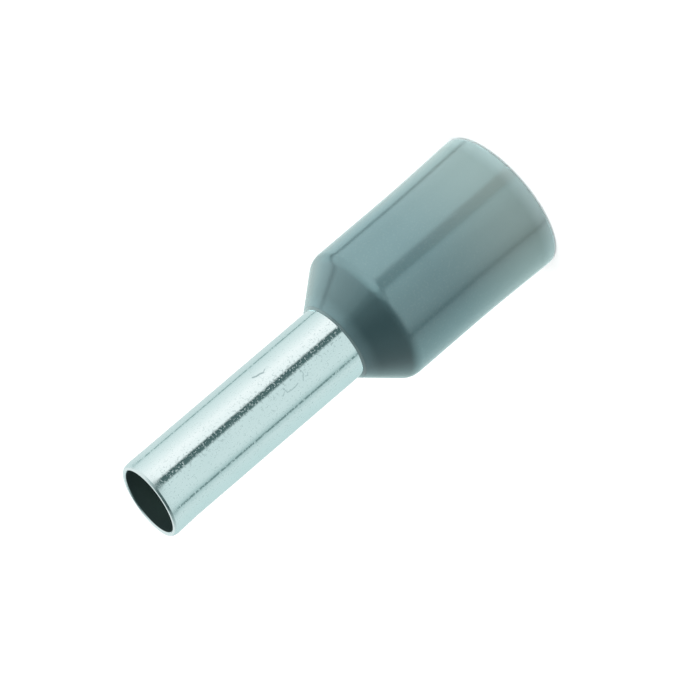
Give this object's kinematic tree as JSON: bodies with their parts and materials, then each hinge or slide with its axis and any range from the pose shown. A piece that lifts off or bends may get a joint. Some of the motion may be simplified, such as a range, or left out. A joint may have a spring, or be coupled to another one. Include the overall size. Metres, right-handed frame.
{
  "type": "wire ferrule",
  "caption": "Insulated wire ferrule: bright tinned copper tube, open at both ends, held in a grey plastic collar that takes the wire's insulation.",
  "frame": {"origin": "centre of the collar's open rim, on the surface that the rim stands on", "axes": "+Z along the common axis of tube and collar, from the open rim towards the tube's mouth; -X towards the long side of the skewed mouth"},
  "size_m": [0.0048, 0.0048, 0.0151],
  "materials": {
    "tinned_copper": "bright tin plating with faint draw lines, specks and light scratches",
    "collar_plastic": "smooth moulded grey, softly glossy"
  },
  "bodies": {
    "root": {"metal_tube": "tinned_copper", "plastic_collar": "collar_plastic"}
  },
  "joints": []
}
